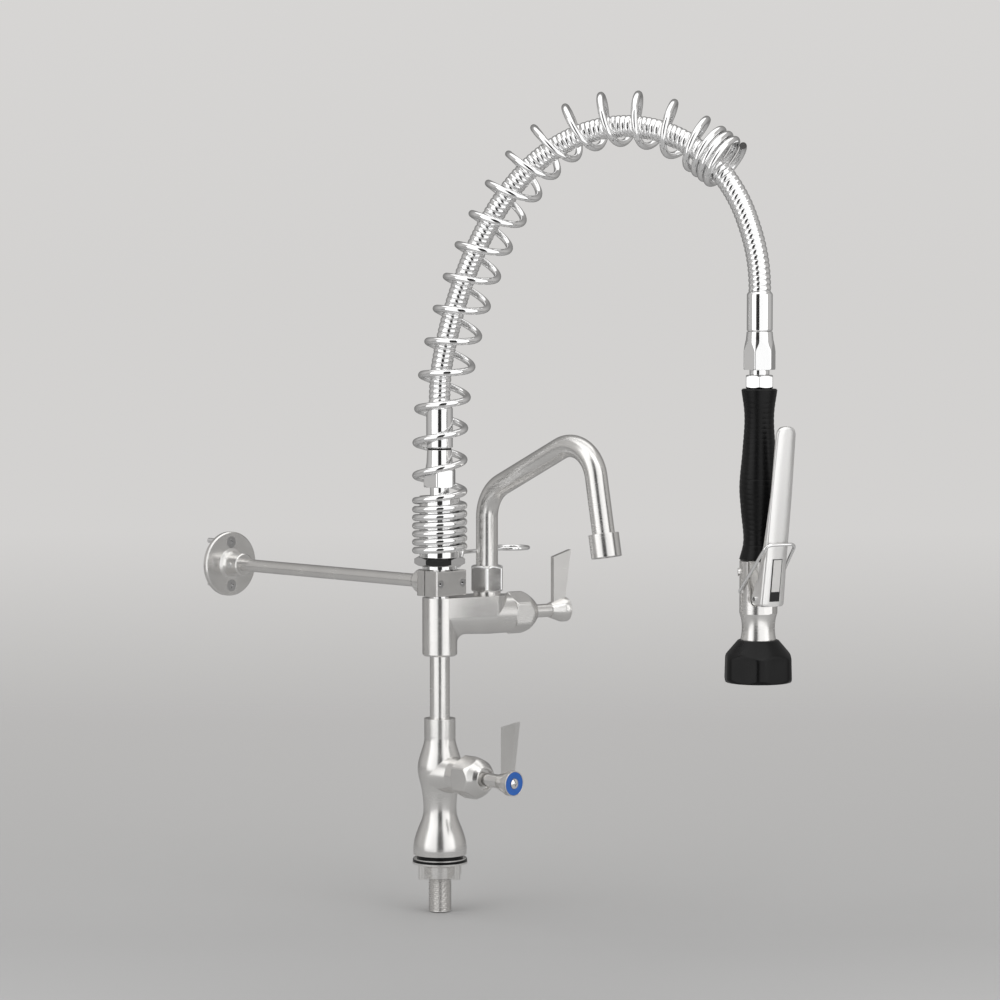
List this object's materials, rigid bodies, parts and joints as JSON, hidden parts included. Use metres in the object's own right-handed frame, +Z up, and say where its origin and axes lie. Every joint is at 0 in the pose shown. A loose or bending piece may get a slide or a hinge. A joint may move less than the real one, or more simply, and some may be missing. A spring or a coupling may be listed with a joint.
{
  "type": "pre rinse faucet",
  "caption": "Deck-mounted pre-rinse tap with wall brace, swivelling pot-filler spout, spring-held overhead hose and lever-operated spray valve.",
  "frame": {"origin": "on the riser's axis, at the flat underside rim of the base body, where it stands on the deck", "axes": "+Z up the riser, -Y towards the user (the way the spout and the lower valve point at rest), +Y towards the wall"},
  "size_m": [0.1785, 0.655, 0.7386],
  "materials": {
    "satin_steel": "satin brushed stainless steel",
    "polished_chrome": "polished chrome",
    "lever_satin": "fine satin",
    "black_rubber": "matt black rubber",
    "black_grip": "ribbed black grip",
    "brass_inner": "machined brass",
    "ceramic": "ground ceramic",
    "index_blue": "gloss blue",
    "grey_plastic": "moulded plastic",
    "plaque": "blank label",
    "hose_steel": "stripwound stainless hose"
  },
  "bodies": {
    "fixed": {"base_body": "satin_steel", "inlet_shank": "satin_steel", "deck_gasket": "black_rubber", "deck_washer": "satin_steel", "clamp_gasket": "black_rubber", "wing_nut": "satin_steel", "riser_tube": "satin_steel", "riser_seal": "black_rubber", "tee_body": "satin_steel", "clamp_front": "satin_steel", "clamp_rear": "satin_steel", "clamp_screws": "polished_chrome", "bracket_rod": "satin_steel", "wall_flange": "satin_steel", "flange_set_screw": "polished_chrome", "wall_screws": "polished_chrome", "upper_nipple": "polished_chrome", "spray_hook": "polished_chrome", "hook_loop": "polished_chrome", "lower_bonnet": "satin_steel", "lower_cartridge": "brass_inner", "lower_seat_disc": "ceramic", "upper_bonnet": "satin_steel", "upper_cartridge": "brass_inner", "upper_seat_disc": "ceramic", "spout_nut": "satin_steel"},
    "lower_handle": {"lower_rotor_disc": "ceramic", "lower_stem": "satin_steel", "lower_handle": "satin_steel", "lower_index_ring": "index_blue", "lower_handle_screw": "polished_chrome"},
    "upper_handle": {"upper_rotor_disc": "ceramic", "upper_stem": "satin_steel", "upper_handle": "satin_steel", "upper_index_ring": "index_blue", "upper_handle_screw": "polished_chrome"},
    "spout": {"spout_tube": "satin_steel", "spout_orings": "black_rubber", "spout_collar": "satin_steel", "spout_insert": "grey_plastic"},
    "overhead": {"spring_seat": "polished_chrome", "coupling_nut": "polished_chrome", "coupling_seal": "black_rubber", "lower_ferrule": "polished_chrome", "overhead_spring": "polished_chrome", "hose": "hose_steel", "upper_ferrule": "polished_chrome"},
    "spray_valve": {"swivel_nut": "polished_chrome", "adaptor": "polished_chrome", "grip": "black_grip", "grip_core": "brass_inner", "spray_body": "satin_steel", "spray_neck": "satin_steel", "spray_bumper": "black_rubber", "spray_plate": "grey_plastic", "pivot_pin": "polished_chrome"},
    "lever": {"lever": "lever_satin", "lever_plaque": "plaque"},
    "plunger": {"plunger": "brass_inner"},
    "hold_ring": {"hold_ring": "polished_chrome"}
  },
  "joints": [
    {"name": "lower_handle_turn", "type": "hinge", "parent": "fixed", "child": "lower_handle", "pos_m": [0, -0.06, 0.074], "axis": [0, -1, 0], "range_deg": [0, 90]},
    {"name": "upper_handle_turn", "type": "hinge", "parent": "fixed", "child": "upper_handle", "pos_m": [0.09848, -0.01736, 0.216], "axis": [0.9848, -0.1736, 0], "range_deg": [0, 90]},
    {"name": "spout_swing", "type": "hinge", "parent": "fixed", "child": "spout", "pos_m": [0.05072, -0.00894, 0.234], "axis": [0, 0, 1], "range_deg": [-48, 200]},
    {"name": "overhead_swivel", "type": "hinge", "parent": "fixed", "child": "overhead", "pos_m": [0, 0, 0.3], "axis": [0, 0, 1], "range_deg": [-120, 120]},
    {"name": "spray_swivel", "type": "hinge", "parent": "overhead", "child": "spray_valve", "pos_m": [0.1166, -0.28151, 0.47], "axis": [0, 0, 1], "continuous": true},
    {"name": "lever_squeeze", "type": "hinge", "parent": "spray_valve", "child": "lever", "pos_m": [0.11288, -0.29448, 0.245], "axis": [-0.9613, 0.2756, 0], "range_deg": [0, 9], "stiffness_Nm_per_rad": 1.5},
    {"name": "plunger_travel", "type": "slide", "parent": "spray_valve", "child": "plunger", "axis": [0.2756, 0.9613, 0], "range_m": [0, 0.0031]},
    {"name": "hold_ring_swing", "type": "hinge", "parent": "spray_valve", "child": "hold_ring", "pos_m": [0.11721, -0.27939, 0.25], "axis": [0.9613, -0.2756, 0], "range_deg": [0, 90]}
  ],
  "couplings": [
    {"joint": "plunger_travel", "follows": "lever_squeeze", "m_per_rad": 0.0195}
  ]
}
